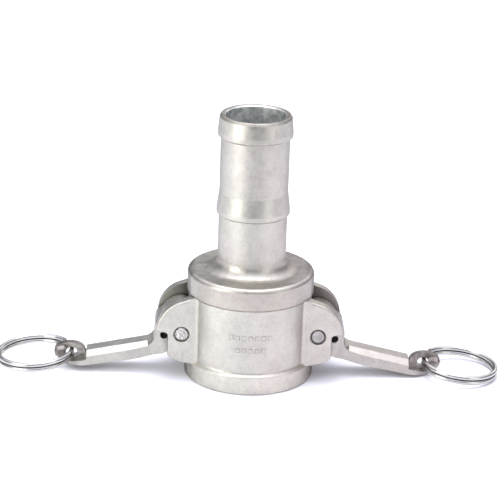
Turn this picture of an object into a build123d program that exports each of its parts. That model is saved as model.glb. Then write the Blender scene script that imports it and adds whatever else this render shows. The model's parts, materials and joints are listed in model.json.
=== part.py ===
"""Female camlock coupler with hose shank, 1 inch (DN 25).

Frame: millimetres, +Z up, the coupling stands on its mouth with the axis on Z.
The two cam arms lie open along -X (left) and +X (right); the pivot pins run along Y.
"""
from build123d import *
from math import cos, sin, radians, pi
import os

os.makedirs("parts", exist_ok=True)

# ---------------------------------------------------------------- driving dimensions
# body, turned features (radii and heights above the mouth face)
height = 96.6
foot_r, foot_h = 23.2, 7.0
mid_r = 22.0
collar_r, collar_z0, collar_z1 = 22.6, 31.3, 39.7
shank_r, shank_fillet = 12.15, 4.4
barb_low = ((12.15, 60.4), (12.98, 60.9), (12.98, 62.6), (12.15, 68.8))
barb_top = ((12.15, 88.6), (13.2, 89.2), (13.2, 90.9), (12.72, 95.7))
mouth_r, mouth_lead = 18.6, 1.2
seat_r, seat_z0, seat_z1 = 20.1, 30.2, 36.5
tail_bore_r = 10.6

# ears and slots
ear_in, ear_out = 7.2, 11.4
ear_fillet = 2.2
notch_z = 18.3
pivot_x, pivot_z = 24.25, 17.9
slot_z0, slot_z1 = 11.6, 27.9
web_left, web_right = 26.45, 26.15

# pins
pin_r, knurl_r, knurl_len, teeth = 2.4, 2.49, 4.0, 18
pin_half = 11.25
ear_hole_r, arm_hole_r = 2.5, 2.46
recess_r, recess_deep = 2.9, 0.8

# arms, in the arm's own frame: u along the handle, v square to it, pivot at the origin
droop_left, droop_right = 11.3, 13.0
head_half, handle_half = 6.9, 5.0
nose_r, boss_r = 8.1, 5.1
top_v, under_v = -3.7, -7.3
eye_u, eye_v, eye_r = 41.3, -4.3, 2.3
bevel_w, bevel_d, bevel_start, bevel_run = 2.5, 1.6, 11.4, 1.8
relief_u, relief_v, relief_r = 6.5, -1.0, 1.45
lug_half = 1.4
bar_u, bar_v, bar_size, bar_bevel = 44.6, -3.0, (4.8, 6.4, 4.4), 1.1

# split rings
wire_r, coil_r, coil_pitch = 0.85, 13.2, 1.76
ring_x, ring_turn = 63.7, 178.0
tilt_left, tilt_right = 3.6, 5.0

# gasket
gasket_in, gasket_out = 13.5, 20.0


# ---------------------------------------------------------------- body casting
def body_profile():
    """Half section of every turned surface, radius against height."""
    with BuildSketch(Plane.XZ) as profile:
        with BuildLine():
            Polyline(
                (tail_bore_r, seat_z1), (seat_r, seat_z1), (seat_r, seat_z0),
                (mouth_r, seat_z0), (mouth_r, mouth_lead), (mouth_r + mouth_lead, 0),
                (foot_r, 0), (foot_r, foot_h - 0.3), (mid_r, foot_h + 0.6),
                (mid_r, collar_z0), (collar_r, collar_z0 + 0.6), (collar_r, collar_z1),
                (shank_r, collar_z1), *barb_low, *barb_top,
                (12.2, height), (tail_bore_r + 0.5, height), (tail_bore_r, height - 0.5),
                close=True)
        make_face()
        for r, z, blend in ((foot_r, 0, 0.8), (foot_r, foot_h - 0.3, 0.4), (mid_r, foot_h + 0.6, 0.8),
                            (collar_r, collar_z1, 1.6), (shank_r, collar_z1, shank_fillet),
                            (barb_low[1][0], barb_low[1][1], 0.35), (barb_low[2][0], barb_low[2][1], 1.5),
                            (barb_top[1][0], barb_top[1][1], 0.35), (barb_top[2][0], barb_top[2][1], 1.5),
                            (barb_low[0][0], barb_low[0][1], 0.25), (barb_top[0][0], barb_top[0][1], 0.25),
                            (12.2, height, 0.4)):
            fillet(profile.vertices().sort_by_distance((r, z))[0], blend)
    return profile.sketch


def ear_outline():
    """Side outline shared by the four ear plates, on the right-hand side."""
    cx, cz, r = 21.3, 18.5, 11.95
    top = (cx + r * cos(radians(74)), cz + r * sin(radians(74)))
    with BuildSketch(Plane.XZ) as outline:
        with Locations((cx, cz)):
            Circle(r)
        with BuildLine():
            Polyline((11, 5.6), (11, 33.6), (top[0] - 8.0, top[1] + 2.9), top, (27, 20),
                     (29.2, notch_z), (29.2, 11.9), (26.4, 8.6), (20.5, 6.4), close=True)
        make_face()
        with Locations((32.2, notch_z - 6)):
            Rectangle(6, 12, mode=Mode.SUBTRACT)
        fillet(outline.vertices().sort_by_distance((33.2, notch_z))[0], 1.3)
        fillet(outline.vertices().sort_by_distance((29.2, notch_z))[0], 1.3)
        fillet(outline.vertices().sort_by_distance((29.2, 11.9))[0], 1.5)
        fillet(outline.vertices().sort_by_distance((26.4, 8.6))[0], 3.0)
    return outline.sketch


def ear_plate(outline):
    """One ear plate (front right) with its outer rim softened as cast."""
    with BuildPart() as plate:
        with BuildSketch(Plane.XZ.offset(ear_in)):
            add(outline)
        extrude(amount=ear_out - ear_in)
        rim = plate.faces().sort_by(Axis.Y)[0].edges()
        fillet([e for e in rim if e.center().X > 19], 0.8)
    return plate.part


def ear_blend(outline):
    """Plan fillets that run each ear plate into the barrel."""
    right = extrude(outline, amount=30, both=True)
    limits = right + mirror(right, Plane.YZ) + Pos(0, 0, 19) * Cylinder(17, 30)
    with BuildPart() as blend:
        with BuildSketch(Plane.XY.offset(6.6)):
            Circle(mid_r)
            for side in (-1, 1):
                with Locations((0, side * (ear_in + ear_out) / 2)):
                    Rectangle(42.4, ear_out - ear_in)
            fillet([v for v in vertices() if abs(abs(v.Y) - ear_out) < 0.01 and abs(v.X) < 20],
                   ear_fillet)
        extrude(amount=25)
    return blend.part & limits


def stop_web(outline, side, reach):
    """Web low between a pair of ears: the open arm's heel comes down on it."""
    with BuildPart() as web:
        with BuildSketch(Plane.XZ):
            add(outline)
            with Locations(((18 + reach) / 2, 8.0)):
                Rectangle(reach - 18, 5.2, mode=Mode.INTERSECT)
        extrude(amount=ear_in + 0.5, both=True)
    return web.part if side > 0 else mirror(web.part, Plane.YZ)


def make_body():
    outline = ear_outline()
    plate = ear_plate(outline)
    blend = ear_blend(outline)
    webs = [stop_web(outline, 1, web_right), stop_web(outline, -1, web_left)]
    turned = revolve(body_profile(), Axis.Z, 360)
    with BuildPart() as body:
        add(blend)
        for quarter in (plate, mirror(plate, Plane.XZ)):
            add(quarter)
            add(mirror(quarter, Plane.YZ))
        # turned body and the stop web between each pair of ears
        add(webs)
        add(turned)
        # everything inside the mouth and the seat is open
        with BuildSketch(Plane.XZ):
            with BuildLine():
                Polyline((0, -1), (mouth_r + mouth_lead, -1), (mouth_r + mouth_lead, 0),
                         (mouth_r, mouth_lead), (mouth_r, seat_z0), (seat_r, seat_z0),
                         (seat_r, seat_z1), (tail_bore_r, seat_z1), (tail_bore_r, height - 0.5),
                         (tail_bore_r + 0.5, height), (tail_bore_r + 0.5, height + 1),
                         (0, height + 1), close=True)
            make_face()
        revolve(axis=Axis.Z, mode=Mode.SUBTRACT)
        # cam slots through the wall and pin holes through the ears
        for side in (-1, 1):
            with BuildSketch(Plane.YZ):
                with Locations((0, (slot_z0 + slot_z1) / 2)):
                    RectangleRounded(2 * ear_in, slot_z1 - slot_z0, 1.5)
            extrude(amount=side * 33, mode=Mode.SUBTRACT)
            with Locations(Pos(side * pivot_x, 0, pivot_z) * Rot(90, 0, 0)):
                Cylinder(ear_hole_r, 40, mode=Mode.SUBTRACT)
            for y in (-1, 1):
                with Locations(Pos(side * pivot_x, y * ear_out, pivot_z) * Rot(90, 0, 0)):
                    Cylinder(recess_r, 2 * recess_deep, mode=Mode.SUBTRACT)
    body.part.label = "body"
    return body


body = make_body()
export_step(body.part, "parts/body.step")


# ---------------------------------------------------------------- gasket
with BuildPart() as gasket:
    with BuildSketch(Plane.XZ):
        with Locations(((gasket_in + gasket_out) / 2, (seat_z0 + seat_z1) / 2)):
            Rectangle(gasket_out - gasket_in, seat_z1 - seat_z0 - 0.1)
        fillet(vertices(), 0.4)
    revolve(axis=Axis.Z)
gasket.part.label = "gasket"
export_step(gasket.part, "parts/gasket.step")


# ---------------------------------------------------------------- cam arms
def arm_side():
    """Side outline of cam head, neck, handle and tongue in the arm's own frame."""
    a0, a1 = radians(101), radians(43)
    start = (nose_r * cos(a0), nose_r * sin(a0))
    end = (nose_r * cos(a1), nose_r * sin(a1))
    mid = (nose_r * cos((a0 + a1) / 2), nose_r * sin((a0 + a1) / 2))
    with BuildSketch(Plane.XZ) as side:
        with BuildLine():
            ThreePointArc(start, mid, end)
            Spline(end, (8.8, 3.6), (10.1, 0.0), (10.5, -2.0), tangents=((0.75, -0.65), (0.15, -1)))
            ThreePointArc((10.5, -2.0), (11.0, -3.2), (12.2, top_v))
            Line((12.2, top_v), (35.6, top_v))
            Line((35.6, top_v), (36.0, -6.4))
            Spline((36.0, -6.4), (40.4, -6.65), (43.7, -7.0), tangents=((1, -0.02), (1, -0.15)))
            ThreePointArc((43.7, -7.0), (44.25, -7.6), (43.6, -8.1))
            Spline((43.6, -8.1), (38.5, -8.4), (31.0, -8.7), (22.0, -8.95), (12.0, -8.55),
                   (6.0, under_v), tangents=((-1, -0.05), (-1, 0.3)))
            ThreePointArc((6.0, under_v), (4.2, -6.6), (3.7, -5.0))
            ThreePointArc((3.7, -5.0), (2.6, -4.55), (1.2, -boss_r + 0.15))
            ThreePointArc((1.2, -boss_r + 0.15), (-4.6, -2.2), (-boss_r + 0.1, 1.2))
            Spline((-boss_r + 0.1, 1.2), (-4.4, 5.2), start, tangents=((0.1, 1), (0.95, 0.2)))
        make_face()
    return side.sketch


def arm_plan():
    """Plan outline: wide cam head, slimmer handle, rounded tongue."""
    h, w = head_half, handle_half
    with BuildSketch(Plane.XY.offset(-12)) as plan:
        with BuildLine():
            Polyline((-9, 0), (-9, h), (7.6, h))
            Spline((7.6, h), (9.6, 6.1), (12.0, w), (16.0, w - 0.05), (34.0, w + 0.15),
                   tangents=((1, 0), (1, 0.02)))
            Spline((34.0, w + 0.15), (39.0, 4.8), (42.8, 2.7), (44.25, 0),
                   tangents=((1, 0), (0, -1)))
            Line((44.25, 0), (-9, 0))
        make_face()
        mirror(about=Plane.XZ)
    return plan.sketch


def bevel_triangle(u, scale):
    """Corner cut out of the handle's upper edge at u; scale 1 is the full bevel."""
    w, d, over = bevel_w * scale, bevel_d * scale, 0.2
    edge = handle_half + 0.1
    with BuildSketch(Plane.YZ.offset(u)) as corner:
        with BuildLine():
            Polyline((edge - w * (1 + over), top_v + d * over), (edge + w * over, top_v - d * (1 + over)),
                     (edge + w * over, top_v + d * over), close=True)
        make_face()
    return corner.sketch


def bevel_cutter():
    """Wedges along both upper edges of the handle, running out at the neck."""
    full = bevel_triangle(bevel_start + bevel_run, 1)
    run_out = loft([bevel_triangle(bevel_start, 0.1).face(), full.face()])
    wedge = run_out + extrude(full, amount=36.5 - bevel_start - bevel_run)
    return wedge + mirror(wedge, Plane.XZ)


def make_arm(label, side, droop):
    """side -1 puts the arm on the left; droop is how far the open handle hangs below level."""
    blank = extrude(arm_side(), amount=9, both=True) & extrude(arm_plan(), amount=26)
    cutter = bevel_cutter()
    with BuildPart(mode=Mode.PRIVATE) as bar:
        Box(*bar_size)
        chamfer(bar.edges(), bar_bevel)
    cross_bar = Pos(bar_u, 0, bar_v) * bar.part
    with BuildPart() as arm:
        add(blank)
        add(cutter, mode=Mode.SUBTRACT)
        # eye lug and the small cross bar at its outer end
        with BuildSketch(Plane.XZ):
            with BuildLine():
                Spline((36.2, -7.0), (36.8, -2.6), (40.7, -0.4), (44.9, -0.6), (46.9, -1.9),
                       (46.7, -3.6), (44.9, -5.6), (44.1, -7.2), tangents=((-0.05, 1), (-0.3, -1)))
                Line((44.1, -7.2), (36.2, -7.0))
            make_face()
        extrude(amount=lug_half, both=True)
        add(cross_bar)
        # pivot hole, relief hole beside it, eye for the split ring
        with Locations(Rot(90, 0, 0)):
            Cylinder(arm_hole_r, 30, mode=Mode.SUBTRACT)
        with Locations(Pos(relief_u, 0, relief_v) * Rot(90, 0, 0)):
            Cylinder(relief_r, 30, mode=Mode.SUBTRACT)
        with Locations(Pos(eye_u, 0, eye_v) * Rot(90, 0, 0)):
            Cylinder(eye_r, 12, mode=Mode.SUBTRACT)
    placed = Pos(pivot_x, 0, pivot_z) * Rot(0, droop, 0) * arm.part
    if side < 0:
        placed = mirror(placed, Plane.YZ)
    placed.label = label
    export_step(placed, f"parts/{label}.step")
    return placed


cam_arm_left = make_arm("cam_arm_left", -1, droop_left)
cam_arm_right = make_arm("cam_arm_right", 1, droop_right)


# ---------------------------------------------------------------- pivot pins
def make_pin(label, side, knurl_side):
    """Straight pin, one end serrated to bite in the ear; knurl_side -1 is the front."""
    with BuildPart() as pin:
        with Locations(Rot(90, 0, 0)):
            Cylinder(pin_r, 2 * pin_half)
        chamfer(pin.edges().filter_by(GeomType.CIRCLE), 0.3)
        # serrated collar: a ring of small teeth round one end
        with BuildSketch(Plane.XZ.offset(pin_half - 0.3 - knurl_len)):
            points = []
            for i in range(2 * teeth):
                r = knurl_r if i % 2 == 0 else pin_r - 0.12
                points.append((r * cos(pi * i / teeth), r * sin(pi * i / teeth)))
            Polygon(*points, align=None)
        extrude(amount=knurl_len)
    placed = pin.part if knurl_side < 0 else Rot(0, 0, 180) * pin.part
    placed = Pos(side * pivot_x, 0, pivot_z) * placed
    placed.label = label
    export_step(placed, f"parts/{label}.step")
    return placed


pivot_pin_left = make_pin("pivot_pin_left", -1, -1)
pivot_pin_right = make_pin("pivot_pin_right", 1, 1)


# ---------------------------------------------------------------- finger rings
def ring_path(sweep_deg=682, jog=(327, 357), step=11):
    """Points of a two-turn coil: one flat turn, a short step up, a second flat turn."""
    points = []
    for i in range(sweep_deg // step + 1):
        deg = i * step
        t = min(max((deg - jog[0]) / (jog[1] - jog[0]), 0), 1)
        rise = t * t * (3 - 2 * t) - 0.5
        points.append((coil_r * cos(radians(deg)), coil_r * sin(radians(deg)), coil_pitch * rise))
    return points


def make_ring(label, side, droop, tilt):
    """Split ring of round spring wire, threaded through the arm's eye at its inner side."""
    with BuildPart() as ring:
        with BuildLine() as wire:
            Spline(*ring_path())
        with BuildSketch(Plane(origin=wire.line @ 0, z_dir=wire.line % 0)):
            Circle(wire_r)
        sweep(path=wire.line)
    flat = Pos(coil_r, 0, 0) * Rot(0, 0, ring_turn) * ring.part
    eye_z = pivot_z - eye_u * sin(radians(droop)) + eye_v * cos(radians(droop))
    placed = Pos(ring_x, 0, eye_z) * Rot(0, tilt, 0) * flat
    if side < 0:
        placed = mirror(placed, Plane.YZ)
    placed.label = label
    export_step(placed, f"parts/{label}.step")
    return placed


finger_ring_left = make_ring("finger_ring_left", -1, droop_left, tilt_left)
finger_ring_right = make_ring("finger_ring_right", 1, droop_right, tilt_right)
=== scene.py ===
"""Looks for the camlock coupling: blasted cast steel, bright wire rings, a pale floor and soft light.

Metres, +Z up, in the same frame as the CAD model. The coupling stands on its socket mouth, its
arms lie open along X, and the front is -Y.
"""
import bpy
import json
from math import cos, sin, radians
from mathutils import Matrix, Vector

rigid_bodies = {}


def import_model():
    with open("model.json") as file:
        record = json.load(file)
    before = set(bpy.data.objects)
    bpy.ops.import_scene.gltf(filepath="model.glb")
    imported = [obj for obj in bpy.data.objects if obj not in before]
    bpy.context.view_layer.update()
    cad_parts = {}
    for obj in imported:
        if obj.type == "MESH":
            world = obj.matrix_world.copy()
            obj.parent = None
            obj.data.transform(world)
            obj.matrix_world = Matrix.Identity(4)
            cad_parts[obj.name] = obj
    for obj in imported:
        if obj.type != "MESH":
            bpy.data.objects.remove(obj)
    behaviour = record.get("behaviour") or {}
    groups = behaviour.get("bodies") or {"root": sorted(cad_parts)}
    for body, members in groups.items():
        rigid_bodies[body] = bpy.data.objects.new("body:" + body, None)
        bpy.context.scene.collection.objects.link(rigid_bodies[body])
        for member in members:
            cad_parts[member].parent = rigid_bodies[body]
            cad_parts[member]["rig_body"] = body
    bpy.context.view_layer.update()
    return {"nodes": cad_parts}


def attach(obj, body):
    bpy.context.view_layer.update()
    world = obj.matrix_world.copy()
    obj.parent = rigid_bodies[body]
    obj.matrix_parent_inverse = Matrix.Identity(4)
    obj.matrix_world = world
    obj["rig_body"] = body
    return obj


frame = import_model()
nodes = frame["nodes"]
scene = bpy.context.scene
MM = 0.001


# ---------------------------------------------------------------- small helpers
def link(obj):
    scene.collection.objects.link(obj)
    return obj


class Nodes:
    """A material being wired: add() makes a node and sets its plain inputs, join() links two."""

    def __init__(self, name):
        self.material = bpy.data.materials.new(name)
        self.material.use_nodes = True
        self.tree = self.material.node_tree
        self.shader = self.tree.nodes["Principled BSDF"]

    def add(self, kind, settings=None, **values):
        node = self.tree.nodes.new("ShaderNode" + kind)
        for key, value in (settings or {}).items():
            setattr(node, key, value)
        for key, value in values.items():
            node.inputs[key.replace("_", " ")].default_value = value
        return node

    def join(self, source, target):
        self.tree.links.new(source, target)

    def noise(self, where, scale, detail=3.0, roughness=0.5):
        node = self.add("TexNoise", Scale=scale, Detail=detail, Roughness=roughness)
        self.join(where, node.inputs["Vector"])
        return node.outputs["Fac"]

    def ramp(self, source, *stops):
        """A colour ramp through (place, value or colour) stops."""
        node = self.add("ValToRGB")
        self.join(source, node.inputs["Fac"])
        while len(node.color_ramp.elements) < len(stops):
            node.color_ramp.elements.new(0.5)
        for element, (place, colour) in zip(node.color_ramp.elements, stops):
            element.position = place
            element.color = (colour,) * 3 + (1,) if isinstance(colour, float) else (*colour, 1)
        return node.outputs["Color"]

    def mix(self, factor, first, second, blend="MIX"):
        node = self.tree.nodes.new("ShaderNodeMix")
        node.data_type = "RGBA"
        node.blend_type = blend
        colour_a, colour_b = 6, 7
        for index, value in ((0, factor), (colour_a, first), (colour_b, second)):
            socket = node.inputs[index]
            if isinstance(value, bpy.types.NodeSocket):
                self.join(value, socket)
            else:
                socket.default_value = value if isinstance(value, float) else (*value, 1)
        return node.outputs[2]

    def step(self, value, start, end):
        """0 before start, 1 beyond end, in metres."""
        node = self.add("MapRange", From_Min=start, From_Max=end)
        self.join(value, node.inputs["Value"])
        return node.outputs["Result"]

    def size_of(self, value):
        node = self.add("Math", {"operation": "ABSOLUTE"})
        self.join(value, node.inputs[0])
        return node.outputs["Value"]

    def both(self, first, *others):
        """The masks multiplied together."""
        for other in others:
            node = self.add("Math", {"operation": "MULTIPLY"})
            self.join(first, node.inputs[0])
            self.join(other, node.inputs[1])
            first = node.outputs["Value"]
        return first

    def tone(self, tint, mask, colour):
        """The tint multiplied by a colour where the mask is 1."""
        return self.mix(1.0, tint, self.mix(mask, (1.0, 1.0, 1.0), colour), "MULTIPLY")

    def bump(self, height, strength, depth, below=None):
        node = self.add("Bump", Strength=strength, Distance=depth)
        self.join(height, node.inputs["Height"])
        if below is not None:
            self.join(below, node.inputs["Normal"])
        return node.outputs["Normal"]


# ---------------------------------------------------------------- materials
def cast_steel(name, pale, dark, seed, edge_tint, recess, finish):
    """Bead-blasted stainless casting: mottled warm grey, pitted grain, soft edges, painted shade in
    recesses.

    The tone drifts from greenish to pinkish grey across the part. Recesses narrower than recess
    get painted shade, except close to the floor. finish adds what is special to one casting.
    """
    m = Nodes(name)
    here = m.add("TexCoord").outputs["Object"]
    moved = m.add("Mapping")
    moved.inputs["Location"].default_value = (seed, seed * 0.7, -seed)
    m.join(here, moved.inputs["Vector"])
    place = moved.outputs["Vector"]
    cast = m.noise(place, 45.0, 2.0, 0.5)
    mottle = m.noise(place, 120.0, 5.0, 0.6)
    blotch = m.noise(place, 420.0, 4.0, 0.6)
    grain = m.noise(place, 1900.0, 3.0, 0.65)
    tint = m.ramp(mottle, (0.34, dark), (0.66, pale))
    split = m.add("SeparateXYZ")
    m.join(here, split.inputs[0])
    drift = m.add("Math", {"operation": "MULTIPLY_ADD"})
    drift.inputs[1].default_value = 9.0
    m.join(split.outputs["X"], drift.inputs[0])
    m.join(cast, drift.inputs[2])
    hue = m.ramp(drift.outputs["Value"],
                 (0.40, (0.985, 1.0, 0.96)), (0.66, (0.96, 0.913, 0.905)))
    patch = m.ramp(blotch, (0.34, (0.89, 0.875, 0.885)), (0.58, (1.0, 1.0, 1.0)))
    speck = m.ramp(grain, (0.30, 0.82), (0.55, 1.0))
    drawn = m.add("Mapping")
    drawn.inputs["Scale"].default_value = (1.0, 1.0, 0.16)
    m.join(place, drawn.inputs["Vector"])
    scuff = m.ramp(m.noise(drawn.outputs["Vector"], 520.0, 2.0, 0.5),
                   (0.66, (1.0, 1.0, 1.0)), (0.72, (0.86, 0.85, 0.86)))
    for layer in (hue, patch, speck, scuff):
        tint = m.mix(0.85, tint, layer, "MULTIPLY")
    hollow = m.add("AmbientOcclusion", {"samples": 8}, Distance=recess)
    # Painted shade: ambient occlusion darkens the colour in recesses and where parts meet, but not near
    # the floor.
    painted_recess_shade = m.ramp(hollow.outputs["AO"], (0.15, (0.20, 0.19, 0.195)), (0.72, (1.0, 1.0, 1.0)))
    low = m.step(split.outputs["Z"], 10.0 * MM, 7.0 * MM)
    tint = m.mix(1.0, tint, m.mix(low, painted_recess_shade, (1.0, 1.0, 1.0)), "MULTIPLY")
    tint = finish(m, tint, here, split, blotch)
    m.join(tint, m.shader.inputs["Base Color"])
    m.join(m.ramp(blotch, (0.3, 0.35), (0.7, 0.46)), m.shader.inputs["Roughness"])
    edge = m.add("Bevel", {"samples": 4}, Radius=0.35 * MM)
    soft = m.bump(blotch, 0.22, 0.2 * MM, edge.outputs["Normal"])
    m.join(m.bump(grain, 0.3, 0.06 * MM, soft), m.shader.inputs["Normal"])
    m.shader.inputs["Metallic"].default_value = 0.95
    m.shader.inputs["Specular Tint"].default_value = (*edge_tint, 1)
    return m.material


def body_finish(m, tint, here, split, blotch):
    """Painted light on the foot band; painted shade on the collar's middle front and back, on the hose
    end and in the slots between the ears; a machined bore.
    """
    across, deep, high = (split.outputs[axis] for axis in "XYZ")
    across, deep = m.size_of(across), m.size_of(deep)
    # Painted light: the foot band below about 6.5 mm is lightened in place of the bright floor's
    # reflection.
    foot = m.step(high, 6.9 * MM, 6.2 * MM)
    # Painted shade: the collar's middle, front and back, is toned darker.
    collar = m.both(m.step(high, 31.0 * MM, 31.3 * MM), m.step(high, 39.2 * MM, 37.6 * MM),
                    m.step(across, 21.0 * MM, 14.0 * MM))
    # Painted shade in the slots between the ears.
    painted_slot_shade = m.both(m.step(deep, 7.45 * MM, 7.25 * MM), m.step(across, 19.0 * MM, 21.0 * MM))
    tint = m.tone(tint, foot, (1.13, 1.13, 1.12))
    tint = m.tone(tint, collar, (0.86, 0.83, 0.825))
    # Painted shade on the hose end's top face and rim, toning down the ceiling's reflection there.
    tint = m.tone(tint, m.step(high, 95.9 * MM, 96.3 * MM), (0.84, 0.84, 0.83))
    tint = m.tone(tint, painted_slot_shade, (0.70, 0.69, 0.70))
    flat = m.add("VectorMath", {"operation": "MULTIPLY"})
    flat.inputs[1].default_value = (1, 1, 0)
    m.join(here, flat.inputs[0])
    radius = m.add("VectorMath", {"operation": "LENGTH"})
    m.join(flat.outputs["Vector"], radius.inputs[0])
    bore = m.both(m.step(radius.outputs["Value"], 11.0 * MM, 10.75 * MM),
                  m.step(high, 36.6 * MM, 37.0 * MM))
    return m.mix(bore, tint, m.ramp(blotch, (0.36, (0.60, 0.61, 0.60)), (0.62, (0.96, 0.98, 0.955))))


def arm_finish(m, tint, here, split, blotch):
    """The eye lug at the handle's end is coloured darker and more mottled."""
    lug = m.both(m.step(m.size_of(split.outputs["X"]), 58.8 * MM, 59.8 * MM),
                 m.step(split.outputs["Z"], 3.6 * MM, 4.6 * MM))
    lug_mottle = m.ramp(blotch, (0.38, (0.48, 0.46, 0.46)), (0.6, (0.78, 0.76, 0.76)))
    return m.mix(lug, tint, m.mix(1.0, tint, lug_mottle, "MULTIPLY"))


def bright_wire(name):
    """Polished spring wire with faint drawing marks, small dull patches and painted shade in the gaps
    between turns.
    """
    m = Nodes(name)
    place = m.add("TexCoord").outputs["Object"]
    fine = m.noise(place, 900.0, 3.0, 0.6)
    patch = m.noise(place, 160.0, 2.0, 0.5)
    tint = m.ramp(patch, (0.3, (0.45, 0.44, 0.42)), (0.65, (0.56, 0.55, 0.53)))
    hollow = m.add("AmbientOcclusion", {"samples": 8}, Distance=1.2 * MM)
    # Painted shade: ambient occlusion darkens the wire where its turns meet.
    painted_gap_shade = m.ramp(hollow.outputs["AO"], (0.35, 0.25), (0.8, 1.0))
    m.join(m.mix(1.0, tint, painted_gap_shade, "MULTIPLY"), m.shader.inputs["Base Color"])
    m.join(m.ramp(fine, (0.3, 0.16), (0.7, 0.27)), m.shader.inputs["Roughness"])
    m.join(m.bump(fine, 0.12, 0.03 * MM), m.shader.inputs["Normal"])
    m.shader.inputs["Metallic"].default_value = 1.0
    return m.material


def bar_steel(name, dull, clean, dimples):
    """Cut stainless bar between two tones; dimples is how deeply its ends are punched."""
    m = Nodes(name)
    place = m.add("TexCoord").outputs["Object"]
    fine = m.noise(place, 1700.0, 3.0, 0.6)
    patch = m.noise(place, 420.0, 2.0, 0.5)
    m.join(m.ramp(patch, (0.3, dull), (0.7, clean)), m.shader.inputs["Base Color"])
    m.join(m.ramp(fine, (0.3, 0.3), (0.7, 0.46)), m.shader.inputs["Roughness"])
    cells = m.add("TexVoronoi", Scale=1100.0)
    m.join(place, cells.inputs["Vector"])
    punched = m.bump(cells.outputs["Distance"], dimples, 0.9 * MM)
    m.join(m.bump(fine, 0.35, 0.06 * MM, punched), m.shader.inputs["Normal"])
    m.shader.inputs["Metallic"].default_value = 1.0
    return m.material


def moulded_rubber(name):
    """Black nitrile with a faint bloom and a fine moulded grain."""
    m = Nodes(name)
    place = m.add("TexCoord").outputs["Object"]
    fine = m.noise(place, 1500.0, 4.0, 0.6)
    bloom = m.noise(place, 150.0, 3.0, 0.5)
    m.join(m.ramp(bloom, (0.35, (0.018, 0.018, 0.02)), (0.75, (0.05, 0.05, 0.053))),
           m.shader.inputs["Base Color"])
    m.join(m.ramp(bloom, (0.3, 0.55), (0.7, 0.75)), m.shader.inputs["Roughness"])
    m.join(m.bump(fine, 0.3, 0.05 * MM), m.shader.inputs["Normal"])
    return m.material


body_steel = cast_steel("blasted_cast_steel", (0.59, 0.572, 0.522), (0.512, 0.492, 0.453), 0.0,
                        (0.45, 0.45, 0.46), 7.0 * MM, body_finish)
arm_steel = cast_steel("blasted_arm_steel", (0.505, 0.488, 0.452), (0.435, 0.418, 0.388), 0.31,
                       (0.7, 0.7, 0.73), 3.0 * MM, arm_finish)


# ---------------------------------------------------------------- finishing the pieces
def finish_node(node, material):
    mesh = nodes[node].data
    mesh.materials.clear()
    mesh.materials.append(material)


finish_node("body", body_steel)
finish_node("gasket", moulded_rubber("moulded_rubber"))
finish_node("pivot_pin_left",
            bar_steel("punched_bar_steel", (0.46, 0.43, 0.41), (0.66, 0.63, 0.60), 0.55))
finish_node("pivot_pin_right",
            bar_steel("cut_bar_steel", (0.30, 0.28, 0.265), (0.42, 0.40, 0.38), 0.12))
wire = bright_wire("bright_spring_wire")
for side in ("left", "right"):
    finish_node("cam_arm_" + side, arm_steel)
    finish_node("finger_ring_" + side, wire)


def raised_marks():
    """Two short rows of plain raised dashes on the barrel's front, where castings are marked."""
    barrel_r, stand, half_high, corner = 22.0 * MM, 0.33 * MM, 0.8 * MM, 0.25 * MM
    rows = ((21.3 * MM, (-3, -2, -1, 0, 1, 2, 3)), (16.6 * MM, (-2, -1, 0, 1, 2)))
    pitch, half_wide, sunk = 2.3 * MM, 0.75 * MM, 0.3 * MM
    verts, faces = [], []
    for z, places in rows:
        for i in places:
            first = len(verts)
            for out, inset in ((-sunk, 0.0), (stand * 0.4, 0.0), (stand, corner)):
                r = barrel_r + out
                for dx, dz in ((-1, -1), (1, -1), (1, 1), (-1, 1)):
                    turn = (i * pitch + dx * (half_wide - inset)) / barrel_r
                    verts.append((r * sin(turn), -r * cos(turn), z + dz * (half_high - inset)))
            for level in (0, 4):
                for k in range(4):
                    j = (k + 1) % 4
                    faces.append(tuple(first + level + n for n in (k, j, j + 4, k + 4)))
            faces.append(tuple(first + n for n in (8, 9, 10, 11)))
            faces.append(tuple(first + n for n in (3, 2, 1, 0)))
    mesh = bpy.data.meshes.new("raised_marks")
    mesh.from_pydata(verts, [], faces)
    mesh.materials.append(body_steel)
    marks = link(bpy.data.objects.new("raised_marks", mesh))
    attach(marks, nodes["body"]["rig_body"])


raised_marks()


# ---------------------------------------------------------------- camera
def make_camera():
    """Three-quarter-height view from the front, a long way back and rolled a touch."""
    azimuth, elevation, roll = radians(-1.8), radians(20.59), radians(1.93)
    distance, target = 0.700, Vector((-0.00062, 0, 0.0462))
    back = Vector((sin(azimuth) * cos(elevation), -cos(azimuth) * cos(elevation), sin(elevation)))
    right = (-back).cross(Vector((0, 0, 1))).normalized()
    up = right.cross(-back)
    x_axis = right * cos(roll) + up * sin(roll)
    y_axis = up * cos(roll) - right * sin(roll)
    data = bpy.data.cameras.new("camera")
    data.lens = 141.9
    data.sensor_width = 36.0
    data.clip_start, data.clip_end = 0.01, 20.0
    camera = link(bpy.data.objects.new("camera", data))
    turn = Matrix((x_axis, y_axis, back)).transposed().to_4x4()
    camera.matrix_world = Matrix.Translation(target + back * distance) @ turn
    scene.camera = camera


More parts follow.
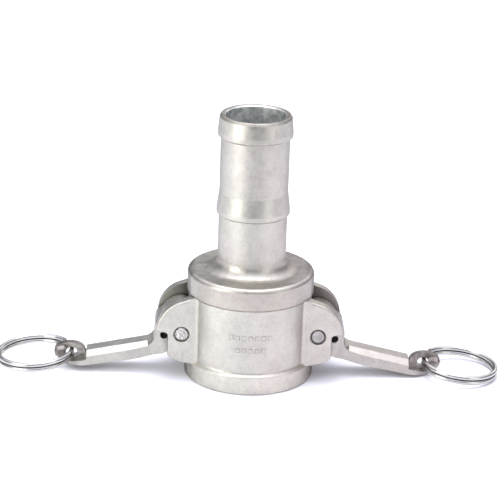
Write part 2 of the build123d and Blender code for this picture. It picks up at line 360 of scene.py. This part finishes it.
# ---------------------------------------------------------------- floor, light and sky
def make_floor():
    """A pale floor with painted shade well in front of the coupling, standing in for light falling off,
    and a faint painted blue that tints its shadows.
    """
    half = 2.5
    front, near = -0.30, -0.11
    mesh = bpy.data.meshes.new("floor")
    corners = [(-half, -half, 0), (half, -half, 0), (half, half, 0), (-half, half, 0)]
    mesh.from_pydata(corners, [], [(0, 1, 2, 3)])
    floor = link(bpy.data.objects.new("floor", mesh))
    m = Nodes("pale_floor")
    split = m.add("SeparateXYZ")
    m.join(m.add("TexCoord").outputs["Object"], split.inputs[0])
    # Painted shade: the floor's colour darkens towards the front, in place of light falloff.
    painted_falloff = m.step(split.outputs["Y"], front, near)
    # The faint blue in the floor colour is painted to tint its shadows; lit parts clip to white.
    m.join(m.ramp(painted_falloff, (0.0, (0.42, 0.425, 0.435)), (1.0, (0.90, 0.905, 0.95))),
           m.shader.inputs["Base Color"])
    m.shader.inputs["Roughness"].default_value = 0.9
    mesh.materials.append(m.material)


def make_light(name, place, aim, size, watts, colour):
    """A soft rectangular lamp that is not seen itself."""
    data = bpy.data.lights.new(name, "AREA")
    data.shape = "RECTANGLE"
    data.size, data.size_y = size
    data.energy = watts
    data.color = colour
    lamp = link(bpy.data.objects.new(name, data))
    lamp.location = place
    lamp.visible_camera = False
    lamp.rotation_euler = (Vector(aim) - Vector(place)).to_track_quat("-Z", "Y").to_euler()


def make_sky():
    """A studio: grey walls round the horizon, a bright ceiling."""
    world = bpy.data.worlds.new("studio")
    scene.world = world
    world.use_nodes = True
    tree = world.node_tree
    back = tree.nodes["Background"]
    where = tree.nodes.new("ShaderNodeTexCoord")
    split = tree.nodes.new("ShaderNodeSeparateXYZ")
    ramp = tree.nodes.new("ShaderNodeValToRGB")
    tree.links.new(where.outputs["Generated"], split.inputs[0])
    tree.links.new(split.outputs["Z"], ramp.inputs["Fac"])
    stops = ((0.0, 0.30), (0.45, 0.36), (0.72, 1.5), (0.9, 2.0), (1.0, 2.3))
    while len(ramp.color_ramp.elements) < len(stops):
        ramp.color_ramp.elements.new(0.5)
    for element, (place, value) in zip(ramp.color_ramp.elements, stops):
        element.position = place
        element.color = (value * 0.95, value * 0.965, value * 1.08, 1)
    tree.links.new(ramp.outputs["Color"], back.inputs["Color"])
    back.inputs["Strength"].default_value = 1.0


make_camera()
make_floor()
make_sky()
make_light("overhead", (0.0, 0.08, 0.88), (0, 0, 0.03), (0.6, 0.45), 3.6, (1, 0.97, 0.93))
make_light("left", (-0.37, -0.28, 0.16), (0, 0, 0.06), (0.28, 0.3), 1.15, (1, 0.985, 0.93))
make_light("right", (0.35, -0.30, 0.15), (0, 0, 0.06), (0.22, 0.28), 0.3, (1, 0.98, 0.94))
make_light("back_right", (0.42, 0.75, 0.38), (0.03, 0, 0.03), (0.5, 0.3), 0.7, (1, 0.98, 0.94))
scene.view_settings.view_transform = "Standard"
